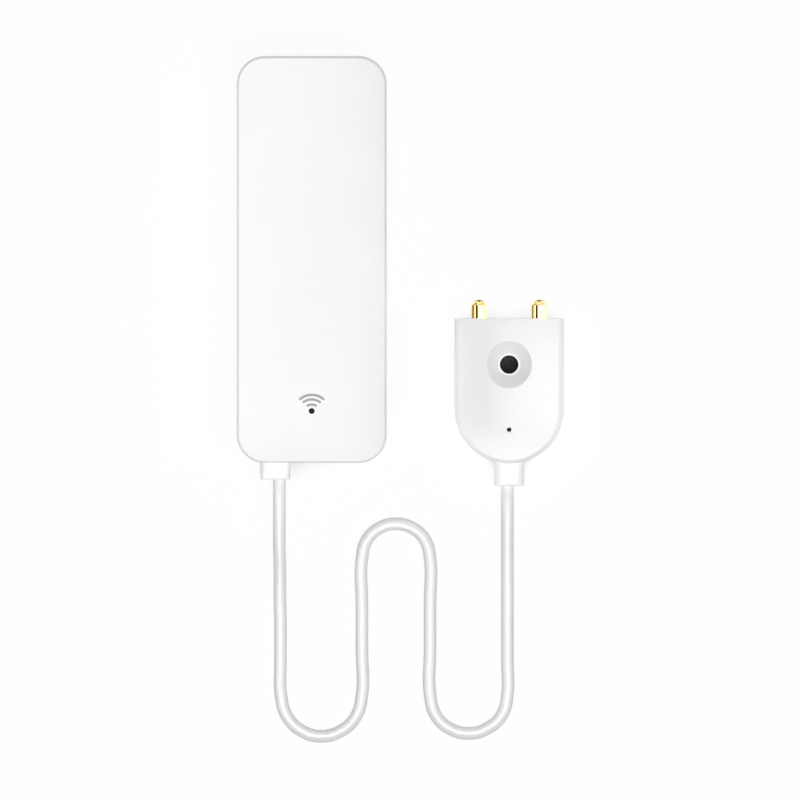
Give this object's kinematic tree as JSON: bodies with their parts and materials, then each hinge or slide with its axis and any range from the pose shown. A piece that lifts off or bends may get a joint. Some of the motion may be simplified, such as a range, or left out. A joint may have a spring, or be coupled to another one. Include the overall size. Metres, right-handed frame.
{
  "type": "water leak sensor",
  "caption": "Slim white battery powered water leak sensor: rounded main unit with a sliding battery cover, joined by a thin cable to a screw-on probe with gold contact pins.",
  "frame": {"origin": "middle of the main unit's flat back face", "axes": "+Z out of the front face, +Y along the main unit away from its cable, +X across it towards the probe"},
  "size_m": [0.0567, 0.119, 0.0195],
  "materials": {
    "white_gloss": "satin white moulded ABS",
    "white_matte": "matte white moulded ABS",
    "white_soft": "soft white PVC",
    "cell_jacket": null,
    "nickel_steel": "nickel plated",
    "board": "solder mask",
    "tin_can": "tinned sheet",
    "ivory_plastic": "moulded nylon",
    "black_plastic": "moulded epoxy",
    "dark_lens": "smoked acrylic",
    "lead_jacket": "PVC insulation",
    "gold_plate": "polished gold plate",
    "seal_rubber": "moulded rubber"
  },
  "bodies": {
    "main_unit": {"front_shell": "white_gloss", "battery_tray": "white_matte", "cell_left": "cell_jacket", "cell_right": "cell_jacket", "positive_contact": "nickel_steel", "negative_contact": "nickel_steel", "bridge_contact": "nickel_steel", "spring_left": "nickel_steel", "spring_right": "nickel_steel", "main_board": "board", "radio_board": "board", "shield_can": "tin_can", "status_led": "ivory_plastic", "board_parts": "black_plastic", "status_lens": "dark_lens", "reset_switch": "black_plastic", "lead_socket": "ivory_plastic", "body_leads": "lead_jacket", "tray_screws": "nickel_steel", "cable_collar": "white_soft", "probe_cable": "white_soft", "probe_collar": "white_soft", "probe_shell": "white_gloss", "probe_back": "white_gloss", "contact_pin_left": "gold_plate", "contact_pin_right": "gold_plate", "pin_seals": "seal_rubber", "probe_board": "board", "probe_leads": "lead_jacket"},
    "cover": {"battery_cover": "white_gloss"},
    "button": {"reset_button": "white_matte", "switch_plunger": "black_plastic"}
  },
  "joints": [
    {"name": "cover_slide", "type": "slide", "parent": "main_unit", "child": "cover", "axis": [0, 1, 0], "range_m": [0, 0.054]},
    {"name": "reset_press", "type": "slide", "parent": "main_unit", "child": "button", "axis": [0, 0, 1], "range_m": [0, 0.0003], "stiffness_N_per_m": 4000}
  ]
}
